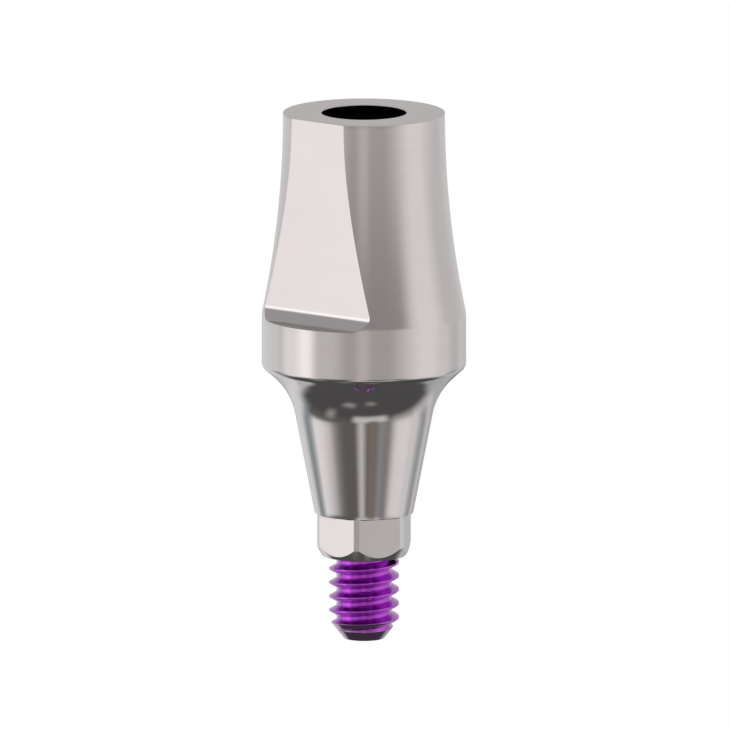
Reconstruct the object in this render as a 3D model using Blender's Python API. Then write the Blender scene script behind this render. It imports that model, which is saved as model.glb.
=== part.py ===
"""A straight dental abutment and the screw that holds it in its implant.

Z is the axis of the implant and points out of it. The origin is on that axis, at the shoulder where the
cone ends and the hexagon starts. The milled flat of the post faces -Y, and so does one side of the hexagon.
Lengths are in metres, angles in degrees.
"""

import math

import bmesh
import bpy

# Screw thread, metric with a pitch of 0.4 mm
THREAD_RADIUS = 1.0e-3
THREAD_PITCH = 0.4e-3
THREAD_FLANK_ANGLE = 60.0
THREAD_START_ANGLE = 209.0
THREAD_LENGTH = 3.13e-3
THREAD_RUNOUT = 0.25e-3

# Screw
SCREW_REACH = 4.84e-3
SCREW_TIP_RADIUS = 0.57e-3
SCREW_TIP_CHAMFER = 0.55e-3
SHANK_RADIUS = 0.80e-3
HEAD_HEIGHT = 2.3e-3
HEAD_CHAMFER = 0.08e-3
DRIVE_ACROSS_FLATS = 1.25e-3
DRIVE_DEPTH = 1.4e-3
DRIVE_POINT_DEPTH = 0.2e-3

# Fit of the screw in the abutment
HOLE_CLEARANCE = 0.06e-3
HEAD_CLEARANCE = 0.04e-3
SEAT_CLEARANCE = 0.02e-3

# Channel through the abutment, with a conical seat for the head
SEAT_HEIGHT = 1.2e-3
SEAT_WIDTH = 0.16e-3
SEAT_ANGLE = 45.0
CHANNEL_MOUTH_CHAMFER = 0.06e-3
HOLE_MOUTH_CHAMFER = 0.04e-3

# Hexagon that keys the abutment to the implant, 2.5 mm across its sides
HEXAGON_LENGTH = 1.233e-3
HEXAGON_WALL = 0.19e-3
HEXAGON_CORNER_TRIM = 0.043e-3
HEXAGON_END_WALL = 0.127e-3
HEXAGON_END_CHAMFER = 0.327e-3

# Cone and flare, from the hexagon to the collar
CONE_STEP = 0.005e-3
CONE_EDGE_BREAK = 0.04e-3
CONE_ANGLE = 11.0
FLARE_RADIUS = 2.018e-3
FLARE_ANGLE = 47.8
FLARE_HEIGHT = 4.247e-3

# Collar
COLLAR_RADIUS = 2.914e-3
COLLAR_HEIGHT = 1.509e-3
COLLAR_EDGE_BREAK = 0.05e-3

# Post that carries the crown
POST_HEIGHT = 5.804e-3
POST_TOP_RADIUS = 2.309e-3
POST_EDGE_BREAK = 0.03e-3

# Flat on the post and the ledge under it
FLAT_DEPTH = 0.204e-3
FLAT_RISE = 0.244e-3
LEDGE_SLOPE_DROP = 0.316e-3
LEDGE_SLOPE_RUN = 0.30e-3

# Fineness of the round surfaces
TURNED_SIDES = 72
THREAD_SIDES = 48
ARC_STEP = 4.0
POST_ARC_STEPS = 8

# How far a cutter reaches past what it cuts
CUTTER_MARGIN = 1.0e-3

# Derived sizes of the screw hole and the hexagon
HOLE_RADIUS = THREAD_RADIUS + HOLE_CLEARANCE
CHANNEL_RADIUS = HOLE_RADIUS + SEAT_WIDTH
HEAD_RADIUS = CHANNEL_RADIUS - HEAD_CLEARANCE
HEXAGON_APOTHEM = HOLE_RADIUS + HEXAGON_WALL
HEXAGON_CORNER_RADIUS = HEXAGON_APOTHEM / math.cos(math.radians(30)) - HEXAGON_CORNER_TRIM
HEXAGON_END_RADIUS = HOLE_RADIUS + HEXAGON_END_WALL
CONE_END_RADIUS = HEXAGON_CORNER_RADIUS + CONE_STEP

# Derived heights above the shoulder
COLLAR_BOTTOM_Z = FLARE_HEIGHT
COLLAR_TOP_Z = COLLAR_BOTTOM_Z + COLLAR_HEIGHT
POST_TOP_Z = COLLAR_TOP_Z + POST_HEIGHT
FLAT_Y = POST_TOP_RADIUS - FLAT_DEPTH
FLAT_BOTTOM_Z = COLLAR_TOP_Z + FLAT_RISE
LEDGE_Z = FLAT_BOTTOM_Z - LEDGE_SLOPE_DROP

# Derived sizes of the thread: crest of an eighth of the pitch, root of a quarter
THREAD_CREST = THREAD_PITCH / 8
THREAD_ROOT = THREAD_PITCH / 4
THREAD_FLANK = (THREAD_PITCH - THREAD_CREST - THREAD_ROOT) / 2
THREAD_DEPTH = THREAD_FLANK / math.tan(math.radians(THREAD_FLANK_ANGLE / 2))
THREAD_ROOT_RADIUS = THREAD_RADIUS - THREAD_DEPTH


def tangent(angle):
    return math.tan(math.radians(angle))


def arc(centre, radius, start, end, steps):
    """Points (r, z) on an arc, from the start angle to the end angle, both from the direction of r."""
    points = []
    for i in range(steps + 1):
        angle = math.radians(start + (end - start) * i / steps)
        points.append((centre[0] + radius * math.cos(angle), centre[1] + radius * math.sin(angle)))
    return points


def new_object(name, bm, material):
    """A mesh object from bm, with its faces pointing outwards."""
    bmesh.ops.recalc_face_normals(bm, faces=bm.faces)
    mesh = bpy.data.meshes.new(name)
    bm.to_mesh(mesh)
    bm.free()
    if material:
        mesh.materials.append(material)
    obj = bpy.data.objects.new(name, mesh)
    bpy.context.scene.collection.objects.link(obj)
    return obj


def turned(name, profile, sides, ring=False, material=None):
    """A solid turned about Z from (r, z) points. A ring joins its last point to its first; any other
    profile starts and ends on the axis."""
    bm = bmesh.new()
    loops = []
    for radius, z in profile:
        count = sides if radius > 0 else 1
        angles = [2 * math.pi * i / sides for i in range(count)]
        loops.append([bm.verts.new((radius * math.cos(a), radius * math.sin(a), z)) for a in angles])
    pairs = list(zip(loops, loops[1:]))
    if ring:
        pairs.append((loops[-1], loops[0]))
    for lower, upper in pairs:
        for i in range(sides):
            j = i + 1
            corners = [
                lower[i % len(lower)],
                lower[j % len(lower)],
                upper[j % len(upper)],
                upper[i % len(upper)],
            ]
            bm.faces.new(list(dict.fromkeys(corners)))
    return new_object(name, bm, material)


def prism(name, outline, place):
    """A solid between two copies of an outline, each put in space by place(point, side)."""
    bm = bmesh.new()
    near, far = [[bm.verts.new(place(point, side)) for point in outline] for side in (-1, 1)]
    bm.faces.new(near)
    bm.faces.new(far)
    for i in range(len(outline)):
        bm.faces.new((near[i - 1], near[i], far[i], far[i - 1]))
    return new_object(name, bm, None)


def combine(obj, other, operation):
    """Joins other to obj, cuts it away or keeps what both share, and removes other."""
    modifier = obj.modifiers.new(operation.lower(), "BOOLEAN")
    modifier.operation = operation
    modifier.object = other
    modifier.solver = "EXACT"
    bpy.context.view_layer.update()
    evaluated = obj.evaluated_get(bpy.context.evaluated_depsgraph_get())
    result = bpy.data.meshes.new_from_object(evaluated)
    obj.modifiers.remove(modifier)
    old = obj.data
    obj.data = result
    result.name = obj.name
    bpy.data.meshes.remove(old)
    bpy.data.objects.remove(other)


def shade(obj, angle):
    """Smooth round faces, with edges sharper than the angle left sharp."""
    obj.data.shade_smooth()
    obj.data.set_sharp_from_angle(angle=math.radians(angle))


def metal(name, colour, roughness):
    material = bpy.data.materials.new(name)
    material.use_nodes = True
    surface = material.node_tree.nodes["Principled BSDF"]
    surface.inputs["Base Color"].default_value = (*colour, 1)
    surface.inputs["Metallic"].default_value = 1
    surface.inputs["Roughness"].default_value = roughness
    return material


def flare_profile():
    """The cone, the flare and the bevel up to the collar, from below. The flare is a fillet between the
    line of the cone and the line of the bevel, and ends short of the collar's edge."""
    cone_slope = tangent(CONE_ANGLE)
    bevel_slope = tangent(FLARE_ANGLE)
    bevel_foot = COLLAR_RADIUS - bevel_slope * COLLAR_BOTTOM_Z
    meet_z = (CONE_END_RADIUS - bevel_foot) / (bevel_slope - cone_slope)
    meet_r = CONE_END_RADIUS + cone_slope * meet_z
    bevel_length = (COLLAR_BOTTOM_Z - meet_z) / math.cos(math.radians(FLARE_ANGLE))
    half_turn = tangent((FLARE_ANGLE - CONE_ANGLE) / 2)
    reach = min(FLARE_RADIUS * half_turn, bevel_length - 2 * COLLAR_EDGE_BREAK)
    radius = reach / half_turn
    cone_direction = math.radians(CONE_ANGLE)
    start_r = meet_r - reach * math.sin(cone_direction)
    start_z = meet_z - reach * math.cos(cone_direction)
    centre = (start_r + radius * math.cos(cone_direction), start_z - radius * math.sin(cone_direction))
    steps = max(2, round((FLARE_ANGLE - CONE_ANGLE) / ARC_STEP))
    profile = [(CONE_END_RADIUS + cone_slope * CONE_EDGE_BREAK, CONE_EDGE_BREAK)]
    profile += arc(centre, radius, 180 - CONE_ANGLE, 180 - FLARE_ANGLE, steps)
    profile.append((COLLAR_RADIUS - bevel_slope * COLLAR_EDGE_BREAK, COLLAR_BOTTOM_Z - COLLAR_EDGE_BREAK))
    return profile


def post_profile():
    """The side of the post from the collar up: one hollow arc, upright at the top edge."""
    spread = COLLAR_RADIUS - POST_TOP_RADIUS
    radius = (POST_HEIGHT**2 + spread**2) / (2 * spread)
    turn = math.degrees(math.asin(POST_HEIGHT / radius))
    centre = (POST_TOP_RADIUS + radius, POST_TOP_Z)
    side = arc(centre, radius, 180 + turn, 180, POST_ARC_STEPS)
    top_r = side.pop()[0]
    side.append((top_r, POST_TOP_Z - POST_EDGE_BREAK))
    side.append((top_r - POST_EDGE_BREAK, POST_TOP_Z))
    return side


def channel_profile():
    """The wall of the channel from the top down: the mouth, the seat of the head and the screw hole."""
    seat_rise = SEAT_WIDTH / tangent(SEAT_ANGLE)
    return [
        (CHANNEL_RADIUS + CHANNEL_MOUTH_CHAMFER, POST_TOP_Z),
        (CHANNEL_RADIUS, POST_TOP_Z - CHANNEL_MOUTH_CHAMFER),
        (CHANNEL_RADIUS, SEAT_HEIGHT + seat_rise),
        (HOLE_RADIUS, SEAT_HEIGHT),
        (HOLE_RADIUS, HOLE_MOUTH_CHAMFER - HEXAGON_LENGTH),
        (HOLE_RADIUS + HOLE_MOUTH_CHAMFER, -HEXAGON_LENGTH),
    ]


def hexagon_cutter():
    """A ring with a six-sided hole, which leaves the hexagon below the shoulder."""
    outer_corner = (COLLAR_RADIUS + CUTTER_MARGIN) / math.cos(math.radians(30))
    inner_corner = HEXAGON_APOTHEM / math.cos(math.radians(30))
    low = -HEXAGON_LENGTH - CUTTER_MARGIN
    profile = [(inner_corner, low), (outer_corner, low), (outer_corner, 0.0), (inner_corner, 0.0)]
    return turned("hexagon_cutter", profile, 6, ring=True)


def flat_cutter():
    """A block that mills the flat and its ledge, drawn as (y, z) points and as long as the collar is wide."""
    outside = -COLLAR_RADIUS - CUTTER_MARGIN
    above = POST_TOP_Z + CUTTER_MARGIN
    outline = [
        (-FLAT_Y, above),
        (-FLAT_Y, FLAT_BOTTOM_Z),
        (-FLAT_Y - LEDGE_SLOPE_RUN, LEDGE_Z),
        (outside, LEDGE_Z),
        (outside, above),
    ]
    half_length = COLLAR_RADIUS + CUTTER_MARGIN
    return prism("flat_cutter", outline, lambda point, side: (side * half_length, point[0], point[1]))


def build_abutment():
    """The one-piece abutment: a turned ring with its hexagon and its flat milled."""
    titanium = metal("titanium", (0.62, 0.59, 0.58), 0.22)
    profile = [
        (HEXAGON_END_RADIUS, -HEXAGON_LENGTH),
        (HEXAGON_CORNER_RADIUS, HEXAGON_END_CHAMFER - HEXAGON_LENGTH),
        (HEXAGON_CORNER_RADIUS, 0.0),
    ]
    profile += flare_profile()
    profile.append((COLLAR_RADIUS, COLLAR_BOTTOM_Z + COLLAR_EDGE_BREAK))
    profile += post_profile()
    profile += channel_profile()
    abutment = turned("abutment", profile, TURNED_SIDES, ring=True, material=titanium)
    combine(abutment, hexagon_cutter(), "DIFFERENCE")
    combine(abutment, flat_cutter(), "DIFFERENCE")
    shade(abutment, 20)
    return abutment


def thread_helix(tip_z):
    """A closed threaded bar, longer at both ends than the thread, with crests that meet the tip's plane at
    the start angle. Each turn shares the line along its root with the turn above it."""
    section = [
        (THREAD_ROOT_RADIUS, -THREAD_PITCH / 2),
        (THREAD_ROOT_RADIUS, -THREAD_CREST / 2 - THREAD_FLANK),
        (THREAD_RADIUS, -THREAD_CREST / 2),
        (THREAD_RADIUS, THREAD_CREST / 2),
        (THREAD_ROOT_RADIUS, THREAD_CREST / 2 + THREAD_FLANK),
    ]
    turns = math.ceil(THREAD_LENGTH / THREAD_PITCH) + 3
    steps = turns * THREAD_SIDES
    first_z = tip_z - 2 * THREAD_PITCH
    bm = bmesh.new()

    def corner(step, radius, offset):
        angle = math.radians(THREAD_START_ANGLE) + 2 * math.pi * step / THREAD_SIDES
        z = first_z + THREAD_PITCH * step / THREAD_SIDES + offset
        return bm.verts.new((radius * math.cos(angle), radius * math.sin(angle), z))

    root_line = [corner(step, *section[0]) for step in range(steps + THREAD_SIDES + 1)]
    ribs = []
    for step in range(steps + 1):
        rib = [root_line[step]]
        rib += [corner(step, *point) for point in section[1:]]
        rib.append(root_line[step + THREAD_SIDES])
        ribs.append(rib)
    for rib, following in zip(ribs, ribs[1:]):
        for k in range(len(section)):
            bm.faces.new((rib[k], following[k], following[k + 1], rib[k + 1]))
    bottom = root_line[: THREAD_SIDES + 1] + ribs[0][-2:0:-1]
    top = root_line[steps:] + ribs[-1][-2:0:-1]
    for edge in (bottom, top):
        centre = bm.verts.new((0, 0, sum(vert.co.z for vert in edge) / len(edge)))
        for i in range(len(edge)):
            bm.faces.new((edge[i - 1], edge[i], centre))
    return new_object("thread", bm, None)


def thread_envelope(tip_z):
    """The turned shape that the thread is cut from: a chamfered tip below and a run-out above."""
    outside = THREAD_RADIUS + THREAD_DEPTH
    tip_slope = SCREW_TIP_CHAMFER / (THREAD_RADIUS - SCREW_TIP_RADIUS)
    runout_slope = THREAD_RUNOUT / THREAD_DEPTH
    top_z = tip_z + THREAD_LENGTH
    core = SHANK_RADIUS - THREAD_DEPTH
    profile = [
        (0.0, tip_z),
        (SCREW_TIP_RADIUS, tip_z),
        (outside, tip_z + tip_slope * (outside - SCREW_TIP_RADIUS)),
        (outside, top_z - runout_slope * (outside - SHANK_RADIUS)),
        (core, top_z + runout_slope * (SHANK_RADIUS - core)),
        (0.0, top_z + runout_slope * (SHANK_RADIUS - core)),
    ]
    return turned("thread_envelope", profile, THREAD_SIDES)


def drive_cutter(top_z):
    """The six-sided hole for the driver, with a drilled point at its bottom."""
    corner = DRIVE_ACROSS_FLATS / 2 / math.cos(math.radians(30))
    bottom_z = top_z - DRIVE_DEPTH
    profile = [
        (0.0, bottom_z - DRIVE_POINT_DEPTH),
        (corner, bottom_z),
        (corner, top_z + CUTTER_MARGIN),
        (0.0, top_z + CUTTER_MARGIN),
    ]
    return turned("drive_cutter", profile, 6)


def build_screw():
    """The abutment screw, drawn about its own origin at the foot of the seat and placed there."""
    violet = metal("violet_anodised", (0.30, 0.02, 0.38), 0.22)
    lift = SEAT_CLEARANCE / math.sin(math.radians(SEAT_ANGLE))
    seat_slope = 1 / tangent(SEAT_ANGLE)
    tip_z = -SCREW_REACH
    top_z = lift + HEAD_HEIGHT
    profile = [
        (0.0, tip_z + THREAD_LENGTH - THREAD_RUNOUT),
        (SHANK_RADIUS, tip_z + THREAD_LENGTH - THREAD_RUNOUT),
        (SHANK_RADIUS, lift - seat_slope * (HOLE_RADIUS - SHANK_RADIUS)),
        (HEAD_RADIUS, lift + seat_slope * (HEAD_RADIUS - HOLE_RADIUS)),
        (HEAD_RADIUS, top_z - HEAD_CHAMFER),
        (HEAD_RADIUS - HEAD_CHAMFER, top_z),
        (0.0, top_z),
    ]
    screw = turned("abutment_screw", profile, THREAD_SIDES, material=violet)
    thread = thread_helix(tip_z)
    combine(thread, thread_envelope(tip_z), "INTERSECT")
    combine(screw, thread, "UNION")
    combine(screw, drive_cutter(top_z), "DIFFERENCE")
    shade(screw, 20)
    screw.location.z = SEAT_HEIGHT
    return screw


def main():
    for obj in list(bpy.data.objects):
        bpy.data.objects.remove(obj)
    build_abutment()
    build_screw()


main()
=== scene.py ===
"""The looks of a dental abutment and its screw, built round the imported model.

Z is the axis of the implant and points out of it. The origin is on that axis, at the shoulder where the
cone ends and the hexagon starts. The milled flat of the post faces -Y. Lengths are in metres, and angles
in degrees unless a name says otherwise. Profiles and sections are complex numbers: a profile point is a
radius and a height, a section point is a distance along the outward normal of a flat and one along the flat.
"""

import math

import bpy
import numpy as np
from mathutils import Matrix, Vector


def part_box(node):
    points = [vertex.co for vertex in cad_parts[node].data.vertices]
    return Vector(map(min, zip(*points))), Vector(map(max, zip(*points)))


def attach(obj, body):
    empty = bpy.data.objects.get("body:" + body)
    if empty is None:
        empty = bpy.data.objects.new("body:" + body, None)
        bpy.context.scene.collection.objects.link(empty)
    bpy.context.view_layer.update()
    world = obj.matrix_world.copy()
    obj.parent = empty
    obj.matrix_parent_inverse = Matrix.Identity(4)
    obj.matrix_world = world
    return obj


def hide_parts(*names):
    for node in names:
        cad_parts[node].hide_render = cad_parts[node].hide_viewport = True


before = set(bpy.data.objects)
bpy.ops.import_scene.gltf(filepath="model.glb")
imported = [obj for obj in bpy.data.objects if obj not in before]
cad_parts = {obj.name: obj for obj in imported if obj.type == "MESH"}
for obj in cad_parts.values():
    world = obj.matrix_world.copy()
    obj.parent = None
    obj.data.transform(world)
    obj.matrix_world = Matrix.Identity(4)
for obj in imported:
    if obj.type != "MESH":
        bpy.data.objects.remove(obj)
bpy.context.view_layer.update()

abutment_low, abutment_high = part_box("abutment")
screw_low, screw_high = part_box("abutment_screw")

# Sizes read from the frame
COLLAR_RADIUS = abutment_high.x
POST_TOP_Z = abutment_high.z
HEXAGON_END_Z = abutment_low.z
SCREW_TIP_Z = screw_low.z
SCREW_TOP_Z = screw_high.z

# Post, with its flat and the ledge under it
POST_TOP_RADIUS = 2.309e-3
POST_EDGE = 0.006e-3
FLAT_Y = 2.105e-3
FLAT_BOTTOM_Z = 6.015e-3
FLAT_EDGE = 0.012e-3
FLAT_FILLET = 0.24e-3
LEDGE_Z = 5.684e-3
LEDGE_SLOPE_RUN = 0.30e-3
LEDGE_FILLET = 0.2e-3
LEDGE_EDGE = 0.004e-3
LEDGE_SUPPORT = 0.012e-3
LEDGE_EDGE_SHARE = 0.1

# Collar
COLLAR_BOTTOM_Z = 4.24e-3
COLLAR_TOP_Z = 5.756e-3
COLLAR_LOWER_EDGE = 0.24e-3
COLLAR_UPPER_EDGE = 0.006e-3

# Cone and flare
CONE_END_RADIUS = 1.4054e-3
CONE_EDGE = 0.02e-3
CONE_ANGLE = 11.0
FLARE_RADIUS = 1.97e-3
BELL_RADIUS = 5.5e-3
BELL_ANGLE = 45.6

# Hexagon
HEXAGON_APOTHEM = 1.25e-3
HEXAGON_CORNER_RADIUS = 1.4004e-3
HEXAGON_END_RADIUS = 1.187e-3
HEXAGON_END_CHAMFER = 0.327e-3
HEXAGON_EDGE = 0.02e-3
HEXAGON_FILLET = 0.03e-3

# Channel for the screw
CHANNEL_RADIUS = 1.212e-3
CHANNEL_MOUTH = 0.01e-3
HOLE_RADIUS = 1.06e-3
HOLE_MOUTH = 0.04e-3
SEAT_Z = 1.2e-3
CHANNEL_EDGE = 0.004e-3

# Screw
THREAD_RADIUS = 1.0e-3
THREAD_ROOT_RADIUS = 0.7835e-3
THREAD_PITCH = 0.4e-3
THREAD_CREST = 0.05e-3
THREAD_FLANK = 0.125e-3
THREAD_START_ANGLE = 209.0
THREAD_LENGTH = 3.13e-3
THREAD_RUNOUT = 0.231e-3
THREAD_ROW = 0.0105e-3
TIP_RADIUS = 0.57e-3
TIP_CHAMFER = 0.55e-3
TIP_EDGE = 0.03e-3
SHANK_RADIUS = 0.80e-3
HEAD_RADIUS = 1.18e-3
HEAD_CHAMFER = 0.08e-3
SEAT_LIFT = 0.0283e-3
SOCKET_APOTHEM = 0.625e-3
SOCKET_CORNER_RADIUS = 0.71e-3
SOCKET_DEPTH = 1.4e-3
SOCKET_POINT = 0.2e-3
SOCKET_CHAMFER = 0.05e-3
SCREW_EDGE = 0.012e-3

# Fineness of the skins: steps across half a flat, round its edge and round the rest of the half section
HEXAGON_STEPS = (16, 4, 6)
FLAT_STEPS = (30, 4, 122)
SOCKET_STEPS = (10, 2, 4)
SIX_SIDES = 6
FILLET_STEPS = 6
FLARE_STEPS = 24
BELL_STEPS = 8
COLLAR_EDGE_STEPS = 12
OUTER_ROW = 0.13e-3
LEDGE_ROW = 0.03e-3
INNER_ROW = 0.4e-3
FILLET_SHARE = 0.45
WELD_GAP = 2e-8
TINY = 1e-12

# Finishes of the abutment's faces, the bored one darkened with painted shade, and how near a normal has to
# lie to an axis to count as on a flat
TURNED, MILLED, POLISHED, BORED = range(4)
SQUARE_ON = 0.9995
UPWARD = 0.5
LEVEL = 0.01

# Camera: the photograph looks along a level line turned from the flat, and a little down
VIEW_AZIMUTH = 39.0
VIEW_ELEVATION = 10.0
PIXEL = 0.0285e-3
IMAGE_WIDTH = 730
AXIS_COLUMN = 364.0
SHOULDER_ROW = 511.9
CAMERA_DISTANCE = 0.1

# Colours, in linear light
TITANIUM_LIGHT = (0.72, 0.69, 0.68)
TITANIUM_DARK = (0.68, 0.65, 0.64)
VIOLET = (0.51, 0.005, 0.67)
VIOLET_DEEP = (0.42, 0.004, 0.57)
VIOLET_RUBBED = (0.62, 0.30, 0.70)
VIOLET_TIP = (0.36, 0.14, 0.40)
# Painted shade: the channel wall's colour is darkened to this share, so that the deep bore renders black as
# if in shade
BORED_PAINTED_SHADE = 0.16

# Grain of the metals along x, y and z, or the spacing of their marks
TITANIUM_CLOUD = (1.1e-3, 1.1e-3, 0.7e-3)
VIOLET_CLOUD = (0.6e-3, 0.6e-3, 0.5e-3)
VIOLET_GRAIN = (0.03e-3, 0.03e-3, 0.012e-3)
TURNED_MARK = 0.045e-3
MILLED_MARK = 0.04e-3
POLISHED_MARK = 0.035e-3
BORED_MARK = 0.05e-3
BAND_WIDTH = 3e-3
BAND_MARKS = 3
TURNED_STRETCH = 40
MILLED_STRETCH = 60

# Depth and roughness of the marks
DEEP_MARK = 0.10e-6
FINE_MARK = 0.06e-6
TURNED_ROUGHNESS = 0.13
MILLED_ROUGHNESS = 0.12
POLISHED_ROUGHNESS = 0.06
VIOLET_ROUGHNESS = 0.12

# The violet film, and where it is rubbed: near the crests, over part of the grain, below the shank
FILM = {"Coat Weight": 1.0, "Coat Roughness": 0.1, "Coat IOR": 1.8}
CREST_BAND = 0.03e-3
RUBBED_GRAIN = (0.45, 0.75)
RUBBED_SHARE = 0.2
TIP_BAND = (-0.04e-3, -0.01e-3)

# Surroundings
TENT_RADIUS = 0.15
TENT_SEGMENTS = 96
TENT_RINGS = 48
TENT_CENTRE_Z = 4.0e-3
FLOOR_Z = -0.16
FLOOR_SIZE = 8.0
FLOOR_COLOUR = (0.9, 0.9, 0.9)
TENT_CLOTH = (0.65, 0.64, 0.64)

# Parts of the tent, each laid over those before it. An azimuth is counted from the camera towards the right
# of the photograph. Each has its azimuth, half its width, the softness of its sides, its lower and upper
# edge, the softness of these, and its colour.
TENT = {
    "ceiling": (180, 190, 2, 40, 95, 10, (0.42, 0.41, 0.42)),
    "back": (175, 75, 12, -48, -6, 14, (0.80, 0.80, 0.81)),
    "back_upper": (180, 30, 12, 3, 40, 6, (0.55, 0.54, 0.54)),
    "front": (5, 32, 22, -60, 95, 6, (0.47, 0.45, 0.44)),
    "front_upper": (11, 45, 25, 4, 95, 25, (0.32, 0.30, 0.30)),
    "front_light": (-1, 7, 10, -60, 4, 22, (0.61, 0.58, 0.57)),
    "left_fill": (-82, 22, 16, -30, 34, 6, (0.97, 0.94, 0.96)),
    "key": (-70, 8, 18, -24, 34, 5, (1.28, 1.21, 1.23)),
    "key_top": (-78, 7, 6, 8, 34, 8, (1.45, 1.41, 1.42)),
    "right_box": (76, 21, 30, -32, 60, 11, (0.90, 0.86, 0.88)),
    "front_flag": (0, 51, 30, -90, -22, 6, (0.15, 0.14, 0.14)),
    "right_flag": (32, 12, 23, -44, -20, 5, (0.32, 0.31, 0.32)),
    "strip": (-5, 6, 17, -40, -22, 4, (0.72, 0.69, 0.71)),
    "left_gap": (-117, 10, 22, -47, -14, 3, (0.29, 0.34, 0.36)),
    "right_gap": (125, 12, 26, -33, -10, 20, (0.39, 0.39, 0.40)),
    "left_ground": (-76, 38, 12, -90, -30, 10, (0.16, 0.15, 0.15)),
    "front_ground": (14, 155, 24, -95, -39, 19, (0.09, 0.09, 0.09)),
    "bar": (12, 32, 18, -48, -36, 7, (0.69, 0.68, 0.69)),
    "ground": (180, 190, 2, -95, -47, 14, (0.09, 0.09, 0.09)),
    "back_low": (182, 30, 5, -54, -44, 6, (0.60, 0.60, 0.60)),
    "right_back": (171, 25, 20, -44, -9, 13, (0.48, 0.49, 0.50)),
    "right_slit": (176, 6, 4, -34, -12, 3, (0.15, 0.15, 0.15)),
    "warm_panel": (17, 9, 12, -38, -22, 9, (0.23, 0.20, 0.18)),
    "left_lamp": (-67, 8, 18, -51, -38, 14, (0.39, 0.37, 0.37)),
    "front_lamp": (-39, 15, 25, -71, -63, 11, (0.36, 0.35, 0.35)),
    "right_lamp": (21, 14, 25, -76, -68, 9, (0.29, 0.29, 0.28)),
    "small_lamp": (24, 7, 5, 28, 39, 5, (4.00, 4.00, 4.00)),
}


def smooth(x):
    x = min(1.0, max(0.0, x))
    return x * x * (3 - 2 * x)


def rounded(corners, columns):
    """A profile through (radius, height, fillet) corners. A fillet turns its corner into an arc. Radii and
    heights are one number, or one for each column."""
    knots = [np.zeros(columns) + radius + 1j * height for radius, height, _ in corners]
    rows = [knots[0]]
    for before, here, after, corner in zip(knots, knots[1:], knots[2:], corners[1:]):
        fillet = corner[2]
        if fillet == 0:
            rows.append(here)
            continue
        back_length = np.abs(before - here) + TINY
        on_length = np.abs(after - here) + TINY
        back = (before - here) / back_length
        on = (after - here) / on_length
        half = np.arccos(np.clip((back * on.conj()).real, -1, 1)) / 2
        reach = np.minimum(fillet / np.tan(half + TINY), FILLET_SHARE * np.minimum(back_length, on_length))
        between = back + on
        centre = here + between / (np.abs(between) + TINY) * reach / np.cos(half)
        start = here + back * reach - centre
        end = here + on * reach - centre
        turn = np.angle(end * start.conj())
        rows += [centre + start * np.exp(1j * turn * k / FILLET_STEPS) for k in range(FILLET_STEPS + 1)]
    rows.append(knots[-1])
    return rows


def filled(rows, longest):
    """The rows, with more between two that lie further apart than the longest step."""
    full = [rows[0]]
    for low, high in zip(rows, rows[1:]):
        count = max(1, math.ceil(np.abs(high - low).max() / longest))
        full += [low + (high - low) * k / count for k in range(1, count + 1)]
    return full


def section(radius, distance, edge, sides, steps):
    """Angles and radii round a round bar with flats at a distance from its axis, whose edges are rounded.
    Both start in the middle of the flat that faces -Y."""
    flat_steps, edge_steps, arc_steps = steps
    span = math.pi / sides
    inner = radius - edge
    edge_angle = math.acos((distance - edge) / inner)
    centre = inner * np.exp(1j * edge_angle)
    points = [distance + 1j * centre.imag * k / flat_steps for k in range(flat_steps)]
    points += [centre + edge * np.exp(1j * edge_angle * k / edge_steps) for k in range(edge_steps)]
    arc = np.linspace(edge_angle, span, arc_steps + 1)
    half = np.concatenate((points, radius * np.exp(1j * arc)))
    angle, reach = np.angle(half), np.abs(half)
    side_angle = np.concatenate((angle, 2 * span - angle[-2:0:-1]))
    side_reach = np.concatenate((reach, reach[-2:0:-1]))
    angles = np.concatenate([side_angle + 2 * span * k for k in range(sides)])
    return angles, np.tile(side_reach, sides)


def placed(angles, row):
    """A profile row as points in space, with angles counted from -Y towards +X."""
    return np.stack((row.real * np.sin(angles), -row.real * np.cos(angles), row.imag), axis=1)


def skinned(name, rows, closed):
    """A mesh object whose skin runs from row to row. A closed skin joins its last row to its first."""
    count, columns = len(rows), len(rows[0])
    points = np.concatenate(rows)
    if closed:
        pairs = [(k, (k + 1) % count) for k in range(count)]
    else:
        pairs = [(k, k + 1) for k in range(count - 1)]
    faces = []
    for low, high in pairs:
        for j in range(columns):
            i = (j + 1) % columns
            faces.append((low * columns + j, low * columns + i, high * columns + i, high * columns + j))
    mesh = bpy.data.meshes.new(name)
    mesh.from_pydata(points.tolist(), [], faces)
    obj = bpy.data.objects.new(name, mesh)
    bpy.context.scene.collection.objects.link(obj)
    mesh.shade_smooth()
    weld = obj.modifiers.new("weld", "WELD")
    weld.merge_threshold = WELD_GAP
    normals = obj.modifiers.new("normals", "WEIGHTED_NORMAL")
    normals.mode = "FACE_AREA"
    return applied(obj)


def applied(obj):
    """The object with its modifiers turned into a plain mesh."""
    bpy.context.view_layer.update()
    evaluated = obj.evaluated_get(bpy.context.evaluated_depsgraph_get())
    mesh = bpy.data.meshes.new_from_object(evaluated)
    old = obj.data
    obj.modifiers.clear()
    obj.data = mesh
    mesh.name = obj.name
    bpy.data.meshes.remove(old)
    return obj


def post_radius(z):
    """Radius of the collar and of the post above it, which is a hollow arc that ends upright at the top."""
    height = POST_TOP_Z - COLLAR_TOP_Z
    spread = COLLAR_RADIUS - POST_TOP_RADIUS
    bend = (height**2 + spread**2) / (2 * spread)
    over = POST_TOP_RADIUS + bend - math.sqrt(bend**2 - (POST_TOP_Z - z) ** 2) - COLLAR_RADIUS
    return COLLAR_RADIUS + (over - math.hypot(over, COLLAR_UPPER_EDGE)) / 2


def arc(centre, radius, start, end, steps):
    return centre + radius * np.exp(1j * np.linspace(start, end, steps))


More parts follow.
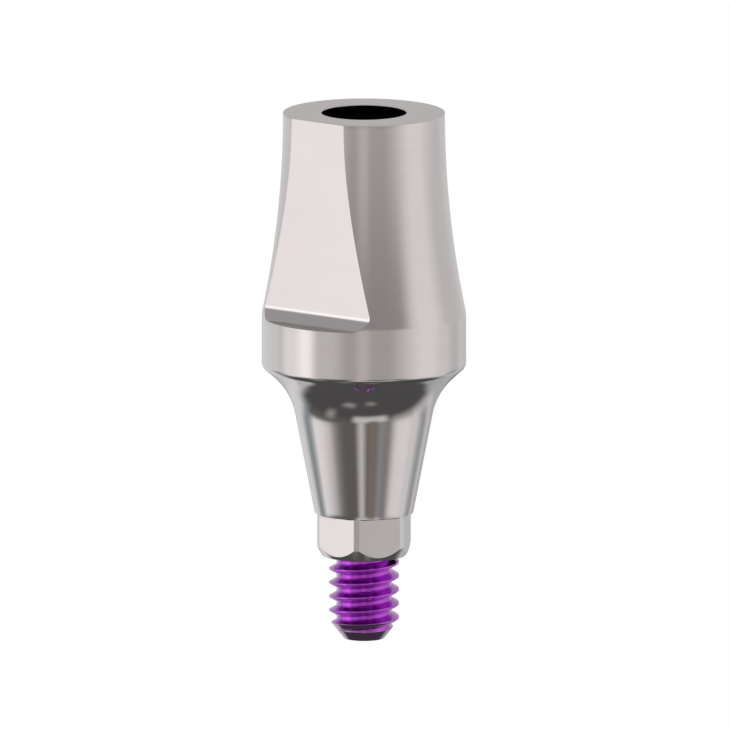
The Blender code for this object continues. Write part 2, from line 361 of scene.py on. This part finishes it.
def flare_corners():
    """The flare's hollow arc out of the cone, the flatter bell after it and the collar's round lower edge.
    They are ready points, so none has a fillet."""
    cone_lean, bell_lean = math.radians(CONE_ANGLE), math.radians(BELL_ANGLE)
    cone = np.exp(1j * (math.pi / 2 - cone_lean))
    apart = (BELL_RADIUS - FLARE_RADIUS) * np.exp(-1j * bell_lean)
    foot = CONE_END_RADIUS + FLARE_RADIUS * np.exp(-1j * cone_lean) + apart
    ahead = (COLLAR_RADIUS + 1j * COLLAR_BOTTOM_Z - foot) / cone
    bell_centre = foot + cone * (ahead.real - math.sqrt(BELL_RADIUS**2 - ahead.imag**2))
    inner = COLLAR_RADIUS - COLLAR_LOWER_EDGE
    rise = math.sqrt((BELL_RADIUS + COLLAR_LOWER_EDGE) ** 2 - (bell_centre.real - inner) ** 2)
    edge_centre = inner + 1j * (bell_centre.imag + rise)
    end = np.angle(edge_centre - bell_centre)
    flare = arc(bell_centre - apart, FLARE_RADIUS, math.pi - cone_lean, math.pi - bell_lean, FLARE_STEPS)
    bell = arc(bell_centre, BELL_RADIUS, math.pi - bell_lean, end, BELL_STEPS)
    edge = arc(edge_centre, COLLAR_LOWER_EDGE, end - math.pi, 0, COLLAR_EDGE_STEPS)
    return [(point.real, point.imag, 0) for point in (*flare, *bell[1:], *edge[1:])]


def abutment_rows():
    """The rows of the abutment's skin, from the mouth of the hole over the outside and down the channel."""
    hexagon, hexagon_radius = section(
        HEXAGON_CORNER_RADIUS, HEXAGON_APOTHEM, HEXAGON_EDGE, SIX_SIDES, HEXAGON_STEPS
    )
    columns = len(hexagon)

    # Path of the milling cutter from the ledge up the slope and up the flat, as distances and heights
    path = rounded(
        [
            (COLLAR_RADIUS, LEDGE_Z, 0),
            (FLAT_Y + LEDGE_SLOPE_RUN, LEDGE_Z, LEDGE_FILLET),
            (FLAT_Y, FLAT_BOTTOM_Z, FLAT_FILLET),
            (FLAT_Y, POST_TOP_Z - POST_EDGE, 0),
        ],
        1,
    )
    ledge_start = path[1][0]
    slope = filled(path[1:-1], LEDGE_ROW)
    flat = filled(path[-2:], OUTER_ROW)
    ledge_edge = FLAT_EDGE * LEDGE_EDGE_SHARE
    ledge, ledge_radius = section(post_radius(LEDGE_Z), ledge_start.real, ledge_edge, 1, FLAT_STEPS)

    # Below the ledge: end face, chamfer and sides of the hexagon, shoulder, cone, flare, collar and ledge
    chamfer_slope = HEXAGON_END_CHAMFER / (HEXAGON_CORNER_RADIUS - HEXAGON_END_RADIUS)
    crease_z = HEXAGON_END_Z + (hexagon_radius - HEXAGON_END_RADIUS) * chamfer_slope
    lower = rounded(
        [
            (HOLE_RADIUS + HOLE_MOUTH, HEXAGON_END_Z, 0),
            (HEXAGON_END_RADIUS, HEXAGON_END_Z, HEXAGON_EDGE),
            (hexagon_radius, crease_z, HEXAGON_EDGE),
            (hexagon_radius, 0.0, HEXAGON_FILLET),
            (CONE_END_RADIUS, 0.0, CONE_EDGE),
            *flare_corners(),
            (post_radius(LEDGE_Z), LEDGE_Z - LEDGE_SUPPORT, 0),
            (post_radius(LEDGE_Z), LEDGE_Z, LEDGE_EDGE),
            (ledge_radius, LEDGE_Z, 0),
        ],
        columns,
    )
    rows = []
    for row in filled(lower, OUTER_ROW):
        share = smooth(row.imag.mean() / COLLAR_BOTTOM_Z)
        rows.append(placed(hexagon + (ledge - hexagon) * share, row))

    # Slope and flat, with the round of the post beside them
    for point in slope[1:] + flat[1:]:
        distance, z = point[0].real, point[0].imag
        edge = ledge_edge + (FLAT_EDGE - ledge_edge) * smooth((z - LEDGE_Z) / LEDGE_FILLET)
        angles, reach = section(post_radius(z), distance, edge, 1, FLAT_STEPS)
        rows.append(placed(angles, reach + 1j * z))
    for k in range(1, FILLET_STEPS + 1):
        turn = math.pi / 2 * k / FILLET_STEPS
        inset = POST_EDGE * (1 - math.cos(turn))
        z = POST_TOP_Z - POST_EDGE * (1 - math.sin(turn))
        angles, reach = section(post_radius(z) - inset, FLAT_Y - inset, FLAT_EDGE, 1, FLAT_STEPS)
        rows.append(placed(angles, reach + 1j * z))

    # Top face and channel, back to the mouth of the hole
    upper = rounded(
        [
            (reach, POST_TOP_Z, 0),
            (CHANNEL_RADIUS + CHANNEL_MOUTH, POST_TOP_Z, CHANNEL_EDGE),
            (CHANNEL_RADIUS, POST_TOP_Z - CHANNEL_MOUTH, CHANNEL_EDGE),
            (CHANNEL_RADIUS, SEAT_Z + CHANNEL_RADIUS - HOLE_RADIUS, CHANNEL_EDGE),
            (HOLE_RADIUS, SEAT_Z, CHANNEL_EDGE),
            (HOLE_RADIUS, HEXAGON_END_Z + HOLE_MOUTH, CHANNEL_EDGE),
            (HOLE_RADIUS + HOLE_MOUTH, HEXAGON_END_Z, 0),
        ],
        columns,
    )
    for row in filled(upper, INNER_ROW)[1:-1]:
        share = smooth((POST_TOP_Z - row.imag.mean()) / (POST_TOP_Z - HEXAGON_END_Z))
        rows.append(placed(angles + (hexagon - angles) * share, row))
    return rows


def finished_abutment(finishes):
    """The abutment, with the finish of each machining step on its own faces. The bored channel's finish is
    darkened with painted shade.
    """
    abutment = skinned("abutment_body", abutment_rows(), closed=True)
    mesh = abutment.data
    for material in finishes:
        mesh.materials.append(material)
    for face in mesh.polygons:
        centre, normal = face.center, face.normal
        radius = math.hypot(centre.x, centre.y)
        faces_axis = radius < CHANNEL_RADIUS + CHANNEL_MOUTH and centre.xy.dot(normal.xy) < 0
        on_flat = centre.z > LEDGE_Z and normal.y < -SQUARE_ON
        on_slope = LEDGE_Z - LEDGE_EDGE < centre.z < FLAT_BOTTOM_Z and normal.z > UPWARD
        side = math.atan2(normal.y, normal.x) * SIX_SIDES / 2
        on_hexagon = centre.z < 0 and radius > HEXAGON_END_RADIUS and abs(math.sin(side)) > SQUARE_ON
        if on_flat or on_slope or (on_hexagon and abs(normal.z) < LEVEL):
            face.material_index = MILLED
        elif 0 < centre.z < COLLAR_BOTTOM_Z and radius > CHANNEL_RADIUS + CHANNEL_MOUTH:
            face.material_index = POLISHED
        # The channel's wall takes the titanium darkened with painted shade
        elif faces_axis and HEXAGON_END_Z + HOLE_MOUTH < centre.z < POST_TOP_Z - CHANNEL_MOUTH:
            face.material_index = BORED
        else:
            face.material_index = TURNED
    return abutment


class Field:
    """A socket of a node tree that works in sums like a number."""

    def __init__(self, tree, socket):
        self.tree = tree
        self.socket = socket

    def __add__(self, other):
        return self.tree.math("ADD", self, other)

    def __radd__(self, other):
        return self.tree.math("ADD", other, self)

    def __sub__(self, other):
        return self.tree.math("SUBTRACT", self, other)

    def __rsub__(self, other):
        return self.tree.math("SUBTRACT", other, self)

    def __mul__(self, other):
        return self.tree.math("MULTIPLY", self, other)

    def __rmul__(self, other):
        return self.tree.math("MULTIPLY", other, self)

    def __truediv__(self, other):
        return self.tree.math("DIVIDE", self, other)

    def __rtruediv__(self, other):
        return self.tree.math("DIVIDE", other, self)

    def __pow__(self, other):
        return self.tree.math("POWER", self, other)

    def __abs__(self):
        return self.tree.math("ABSOLUTE", self)

    def step(self, low, high):
        """0 below low and 1 above high, with a soft rise between them."""
        settings = {"interpolation_type": "SMOOTHSTEP", "clamp": True}
        return self.tree.node("ShaderNodeMapRange", settings, {0: self, 1: low, 2: high}).field()


class Node:
    """A node with its outputs at hand."""

    def __init__(self, tree, node):
        self.tree = tree
        self.node = node

    def field(self, output=0):
        return Field(self.tree, self.node.outputs[output])


class Tree:
    """A node tree, shader or geometry, that is emptied and then built node by node."""

    def __init__(self, tree):
        self.tree = tree
        tree.nodes.clear()

    def node(self, kind, settings, sockets):
        """A node of a kind, with its settings and then its sockets, by name or number, set or linked."""
        node = self.tree.nodes.new(kind)
        for name, value in settings.items():
            setattr(node, name, value)
        for key, value in sockets.items():
            if isinstance(value, Field):
                self.tree.links.new(value.socket, node.inputs[key])
            else:
                node.inputs[key].default_value = value
        return Node(self, node)

    def math(self, operation, *values):
        return self.node("ShaderNodeMath", {"operation": operation}, dict(enumerate(values))).field()

    def mix(self, share, first, second):
        """A colour between two colours."""
        sockets = {0: share, 6: rgba(first), 7: rgba(second)}
        return self.node("ShaderNodeMix", {"data_type": "RGBA"}, sockets).field(2)


def rgba(colour):
    return colour if isinstance(colour, Field) else (*colour, 1)


def new_material(name):
    material = bpy.data.materials.new(name)
    material.use_nodes = True
    return material, Tree(material.node_tree)


def thread_tree():
    """Geometry nodes that press a thread into a bar: each point moves in to the thread's own radius at its
    angle and height, and stays where the bar is thinner."""
    group = bpy.data.node_groups.new("screw_thread", "GeometryNodeTree")
    tree = Tree(group)
    sizes = (
        "Pitch",
        "Crest radius",
        "Root radius",
        "Crest width",
        "Flank width",
        "Start height",
        "End height",
        "Start angle",
    )
    group.interface.new_socket("Geometry", in_out="INPUT", socket_type="NodeSocketGeometry")
    for name in sizes:
        group.interface.new_socket(name, in_out="INPUT", socket_type="NodeSocketFloat")
    group.interface.new_socket("Finish", in_out="INPUT", socket_type="NodeSocketMaterial")
    group.interface.new_socket("Geometry", in_out="OUTPUT", socket_type="NodeSocketGeometry")
    given = tree.node("NodeGroupInput", {}, {})
    pitch, crest, root, crest_width, flank_width, start_z, end_z, start_angle = map(given.field, sizes)

    position = tree.node("GeometryNodeInputPosition", {}, {}).field()
    point = tree.node("ShaderNodeSeparateXYZ", {}, {0: position})
    x, y, z = point.field(0), point.field(1), point.field(2)
    radius = (x * x + y * y) ** 0.5
    angle = tree.math("ARCTAN2", y, x) - start_angle
    turns = (z - start_z) / pitch - angle / (2 * math.pi)
    away = abs(turns - tree.math("ROUND", turns)) * pitch
    drop = (away - crest_width / 2) / flank_width
    depth = tree.math("MINIMUM", tree.math("MAXIMUM", drop, 0.0), 1.0) * (crest - root)
    beyond = tree.math("GREATER_THAN", z, end_z)
    pressed = tree.math("MINIMUM", radius, crest - depth + beyond)
    scale = pressed / tree.math("MAXIMUM", radius, TINY)
    moved = tree.node("ShaderNodeCombineXYZ", {}, {0: x * scale, 1: y * scale, 2: z}).field()
    bar, finish = given.field("Geometry"), given.field("Finish")
    cut = tree.node("GeometryNodeSetPosition", {}, {"Geometry": bar, "Position": moved})
    whole = tree.node("GeometryNodeRealizeInstances", {}, {0: cut.field()})
    finished = tree.node("GeometryNodeSetMaterial", {}, {0: whole.field(), "Material": finish})
    tree.node("NodeGroupOutput", {}, {0: finished.field()})
    return group


def finished_screw(violet):
    """The abutment screw, from the middle of its tip over the thread, shank and head into its socket."""
    socket, socket_radius = section(
        SOCKET_CORNER_RADIUS, SOCKET_APOTHEM, SCREW_EDGE, SIX_SIDES, SOCKET_STEPS
    )
    columns = len(socket)
    round_angles = np.arange(columns) * 2 * math.pi / columns
    chamfer_top = SCREW_TIP_Z + TIP_CHAMFER
    thread_top = SCREW_TIP_Z + THREAD_LENGTH
    seat_low = SEAT_Z + SEAT_LIFT - (HOLE_RADIUS - SHANK_RADIUS)
    seat_high = SEAT_Z + SEAT_LIFT + HEAD_RADIUS - HOLE_RADIUS
    tip = rounded(
        [(0.0, SCREW_TIP_Z, 0), (TIP_RADIUS, SCREW_TIP_Z, TIP_EDGE), (THREAD_RADIUS, chamfer_top, 0)],
        columns,
    )
    thread = rounded(
        [
            (THREAD_RADIUS, chamfer_top, 0),
            (THREAD_RADIUS, thread_top - THREAD_RUNOUT, 0),
            (SHANK_RADIUS, thread_top, 0),
        ],
        columns,
    )
    head = rounded(
        [
            (SHANK_RADIUS, thread_top, 0),
            (SHANK_RADIUS, seat_low, SCREW_EDGE),
            (HEAD_RADIUS, seat_high, SCREW_EDGE),
            (HEAD_RADIUS, SCREW_TOP_Z - HEAD_CHAMFER, SCREW_EDGE),
            (HEAD_RADIUS - HEAD_CHAMFER, SCREW_TOP_Z, SCREW_EDGE),
            (socket_radius + SOCKET_CHAMFER, SCREW_TOP_Z, SCREW_EDGE),
            (socket_radius, SCREW_TOP_Z - SOCKET_CHAMFER, SCREW_EDGE),
            (socket_radius, SCREW_TOP_Z - SOCKET_DEPTH, SCREW_EDGE),
            (0.0, SCREW_TOP_Z - SOCKET_DEPTH - SOCKET_POINT, 0),
        ],
        columns,
    )
    rows = filled(tip, THREAD_ROW) + filled(thread, THREAD_ROW)[1:] + filled(head, OUTER_ROW)[1:]
    low, high = SEAT_Z, SCREW_TOP_Z - HEAD_CHAMFER
    points = []
    for row in rows:
        share = smooth((row.imag.mean() - low) / (high - low)) if row.real.max() > SHANK_RADIUS else 0.0
        inside = row.real.max() < SHANK_RADIUS and row.imag.mean() > SEAT_Z
        share = 1.0 if inside else share
        points.append(placed(round_angles + (socket - round_angles) * share, row))
    screw = skinned("violet_screw", points, closed=False)

    tree = thread_tree()
    modifier = screw.modifiers.new("thread", "NODES")
    modifier.node_group = tree
    values = {
        "Pitch": THREAD_PITCH,
        "Crest radius": THREAD_RADIUS,
        "Root radius": THREAD_ROOT_RADIUS,
        "Crest width": THREAD_CREST,
        "Flank width": THREAD_FLANK,
        "Start height": SCREW_TIP_Z,
        "End height": thread_top + TINY,
        "Start angle": math.radians(THREAD_START_ANGLE),
        "Finish": violet,
    }
    for item in tree.interface.items_tree:
        if item.in_out == "INPUT" and item.name in values:
            modifier[item.identifier] = values[item.name]
    return applied(screw)


def surface(tree):
    """The object coordinates of a surface: x, y, height, radius and angle round the axis."""
    position = tree.node("ShaderNodeTexCoord", {}, {}).field("Object")
    point = tree.node("ShaderNodeSeparateXYZ", {}, {0: position})
    x, y, z = point.field(0), point.field(1), point.field(2)
    return x, y, z, (x * x + y * y) ** 0.5, tree.math("ARCTAN2", x, y * -1.0)


def noise(tree, x, y, z, size, detail=2.0):
    """Noise between 0 and 1 whose grains are about the given sizes along x, y and z."""
    vector = tree.node("ShaderNodeCombineXYZ", {}, {0: x / size[0], 1: y / size[1], 2: z / size[2]}).field()
    sockets = {"Vector": vector, "Scale": 1.0, "Detail": detail}
    return tree.node("ShaderNodeTexNoise", {}, sockets).field("Fac")


def metal(tree, colour, roughness, relief, constants):
    """A metal shader. The relief is a height in metres."""
    bump = tree.node("ShaderNodeBump", {}, {"Strength": 1.0, "Distance": 1.0, "Height": relief})
    sockets = {"Base Color": rgba(colour), "Metallic": 1.0, "Roughness": roughness, "Normal": bump.field()}
    shader = tree.node("ShaderNodeBsdfPrincipled", {}, {**constants, **sockets})
    tree.node("ShaderNodeOutputMaterial", {}, {"Surface": shader.field()})


def titanium(name, roughness, mark_height, mark_size, milled=False, painted_shade=1.0):
    """Bare titanium. Turned marks run round the axis as one fine screw line, milled ones along it. A painted
    shade below 1 darkens the colour and stands in for the shade deep in a bore.
    """
    material, tree = new_material(name)
    x, y, z, radius, angle = surface(tree)
    cloud = noise(tree, x, y, z, TITANIUM_CLOUD)
    if milled:
        shading = cloud
        marks = noise(tree, x, y, z, (mark_size, mark_size, MILLED_STRETCH * mark_size), detail=3.0)
    else:
        bands = noise(tree, x, y, z, (BAND_WIDTH, BAND_WIDTH, BAND_MARKS * mark_size))
        shading = 0.5 * cloud + 0.8 * bands - 0.15
        feed = z + angle * (mark_size / (2 * math.pi))
        along = TURNED_STRETCH * mark_size
        marks = noise(tree, x, y, feed, (along, along, mark_size), detail=3.0)
    low, high = TITANIUM_DARK, TITANIUM_LIGHT
    # Painted shade: both colours are darkened when the painted shade is below 1
    colour = tree.mix(shading, [painted_shade * part for part in low], [painted_shade * part for part in high])
    rough = roughness * (0.8 + 0.4 * cloud) + 0.03 * (marks - 0.5)
    metal(tree, colour, rough, marks * mark_height, {})
    return material


def violet_anodised():
    """Anodised titanium: violet, with a drift of hue where the oxide is thinner, and crests rubbed paler."""
    material, tree = new_material("violet_anodised_metal")
    x, y, z, radius, angle = surface(tree)
    cloud = noise(tree, x, y, z, VIOLET_CLOUD)
    grain = noise(tree, x, y, z, VIOLET_GRAIN)
    crest = radius.step(THREAD_RADIUS - CREST_BAND, THREAD_RADIUS)
    rubbed = crest * (1 - z.step(0.0, SEAT_Z)) * grain.step(*RUBBED_GRAIN) * RUBBED_SHARE
    taper = TIP_RADIUS + (z - SCREW_TIP_Z) * ((THREAD_RADIUS - TIP_RADIUS) / TIP_CHAMFER)
    tip = (radius - taper).step(*TIP_BAND)
    colour = tree.mix(cloud, VIOLET_DEEP, VIOLET)
    colour = tree.mix(rubbed, colour, VIOLET_RUBBED)
    colour = tree.mix(tip, colour, VIOLET_TIP)
    rough = VIOLET_ROUGHNESS + 0.06 * cloud + 0.05 * rubbed
    metal(tree, colour, rough, grain * DEEP_MARK, FILM)
    return material


def view_axes():
    """Unit vectors of the photograph: towards its right, towards its top and towards the camera."""
    azimuth, elevation = math.radians(VIEW_AZIMUTH), math.radians(VIEW_ELEVATION)
    right = Vector((math.cos(azimuth), math.sin(azimuth), 0))
    level = Vector((math.sin(azimuth), -math.cos(azimuth), 0))
    back = level * math.cos(elevation) + Vector((0, 0, math.sin(elevation)))
    return right, back.cross(right), back


def add_tent():
    """A light tent of pale cloth, dark flags and gaps round the object, which only its reflections show."""
    material, tree = new_material("tent_light")
    position = tree.node("ShaderNodeTexCoord", {}, {}).field("Object")
    from_centre = tree.node(
        "ShaderNodeVectorMath", {"operation": "SUBTRACT"}, {0: position, 1: (0, 0, TENT_CENTRE_Z)}
    ).field()
    rotated = tree.node(
        "ShaderNodeVectorRotate",
        {"rotation_type": "Z_AXIS"},
        {"Vector": from_centre, "Angle": math.radians(90 - VIEW_AZIMUTH)},
    ).field()
    point = tree.node("ShaderNodeSeparateXYZ", {}, {0: rotated})
    across, ahead, up = point.field(1), point.field(0), point.field(2)
    azimuth = tree.math("ARCTAN2", across, ahead) * (180 / math.pi)
    elevation = tree.math("ARCTAN2", up, (across * across + ahead * ahead) ** 0.5) * (180 / math.pi)
    light = tree.node("ShaderNodeRGB", {}, {})
    light.node.outputs[0].default_value = rgba(TENT_CLOTH)
    light = light.field()
    for centre, half, soft, low, high, rise, colour in TENT.values():
        away = abs(tree.math("WRAP", azimuth - centre, 180.0, -180.0))
        within = 1 - away.step(half - soft / 2, half + soft / 2)
        above = elevation.step(low - rise / 2, low + rise / 2)
        below = 1 - elevation.step(high - rise / 2, high + rise / 2)
        light = tree.mix(within * above * below, light, colour)
    emission = tree.node("ShaderNodeEmission", {}, {"Color": light, "Strength": 1.0})
    tree.node("ShaderNodeOutputMaterial", {}, {"Surface": emission.field()})
    material.cycles.emission_sampling = "NONE"

    bpy.ops.mesh.primitive_uv_sphere_add(
        segments=TENT_SEGMENTS, ring_count=TENT_RINGS, radius=TENT_RADIUS
    )
    tent = bpy.context.active_object
    tent.name = "light_tent"
    for vertex in tent.data.vertices:
        vertex.co.z += TENT_CENTRE_Z
    tent.data.materials.append(material)
    tent.visible_camera = False
    tent.visible_diffuse = False
    tent.visible_shadow = False


def add_floor():
    material, tree = new_material("floor_white")
    path = tree.node("ShaderNodeLightPath", {}, {})
    seen = path.field("Is Camera Ray") + path.field("Is Glossy Ray") + path.field("Is Transmission Ray")
    colour = tree.mix(seen, FLOOR_COLOUR, (1.0, 1.0, 1.0))
    cloth = tree.node("ShaderNodeBsdfDiffuse", {}, {"Color": colour})
    tree.node("ShaderNodeOutputMaterial", {}, {"Surface": cloth.field()})
    half = FLOOR_SIZE / 2
    mesh = bpy.data.meshes.new("floor")
    corners = [(-half, -half), (half, -half), (half, half), (-half, half)]
    mesh.from_pydata([(x, y, FLOOR_Z) for x, y in corners], [], [(0, 1, 2, 3)])
    mesh.materials.append(material)
    floor = bpy.data.objects.new("floor", mesh)
    bpy.context.scene.collection.objects.link(floor)


def add_world():
    world = bpy.data.worlds.new("studio")
    world.use_nodes = True
    tree = Tree(world.node_tree)
    background = tree.node("ShaderNodeBackground", {}, {"Color": rgba((1.0, 1.0, 1.0)), "Strength": 1.0})
    tree.node("ShaderNodeOutputWorld", {}, {"Surface": background.field()})
    bpy.context.scene.world = world


def add_camera():
    right, up, back = view_axes()
    data = bpy.data.cameras.new("camera")
    data.type = "ORTHO"
    data.ortho_scale = IMAGE_WIDTH * PIXEL
    data.clip_start = CAMERA_DISTANCE / 10
    camera = bpy.data.objects.new("camera", data)
    sideways = (IMAGE_WIDTH / 2 - AXIS_COLUMN) * PIXEL
    upwards = (SHOULDER_ROW - IMAGE_WIDTH / 2) * PIXEL
    camera.location = right * sideways + up * upwards + back * CAMERA_DISTANCE
    camera.rotation_euler = back.to_track_quat("Z", "Y").to_euler()
    bpy.context.scene.collection.objects.link(camera)
    bpy.context.scene.camera = camera


def main():
    finishes = (
        titanium("titanium_turned", TURNED_ROUGHNESS, DEEP_MARK, TURNED_MARK),
        titanium("titanium_milled", MILLED_ROUGHNESS, FINE_MARK, MILLED_MARK, milled=True),
        titanium("titanium_polished", POLISHED_ROUGHNESS, FINE_MARK, POLISHED_MARK),
        # The channel wall: titanium darkened with painted shade, so that the bore renders black
        titanium("titanium_bored_painted_shade", MILLED_ROUGHNESS, DEEP_MARK, BORED_MARK, painted_shade=BORED_PAINTED_SHADE),
    )
    abutment = finished_abutment(finishes)
    screw = finished_screw(violet_anodised())
    for piece, body, node, slot in (
        (abutment, "abutment", "abutment", "titanium"),
        (screw, "screw", "abutment_screw", "violet_anodised"),
    ):
        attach(piece, body)
        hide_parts(node)
    add_tent()
    add_floor()
    add_world()
    add_camera()
    bpy.context.scene.view_settings.view_transform = "Standard"


main()
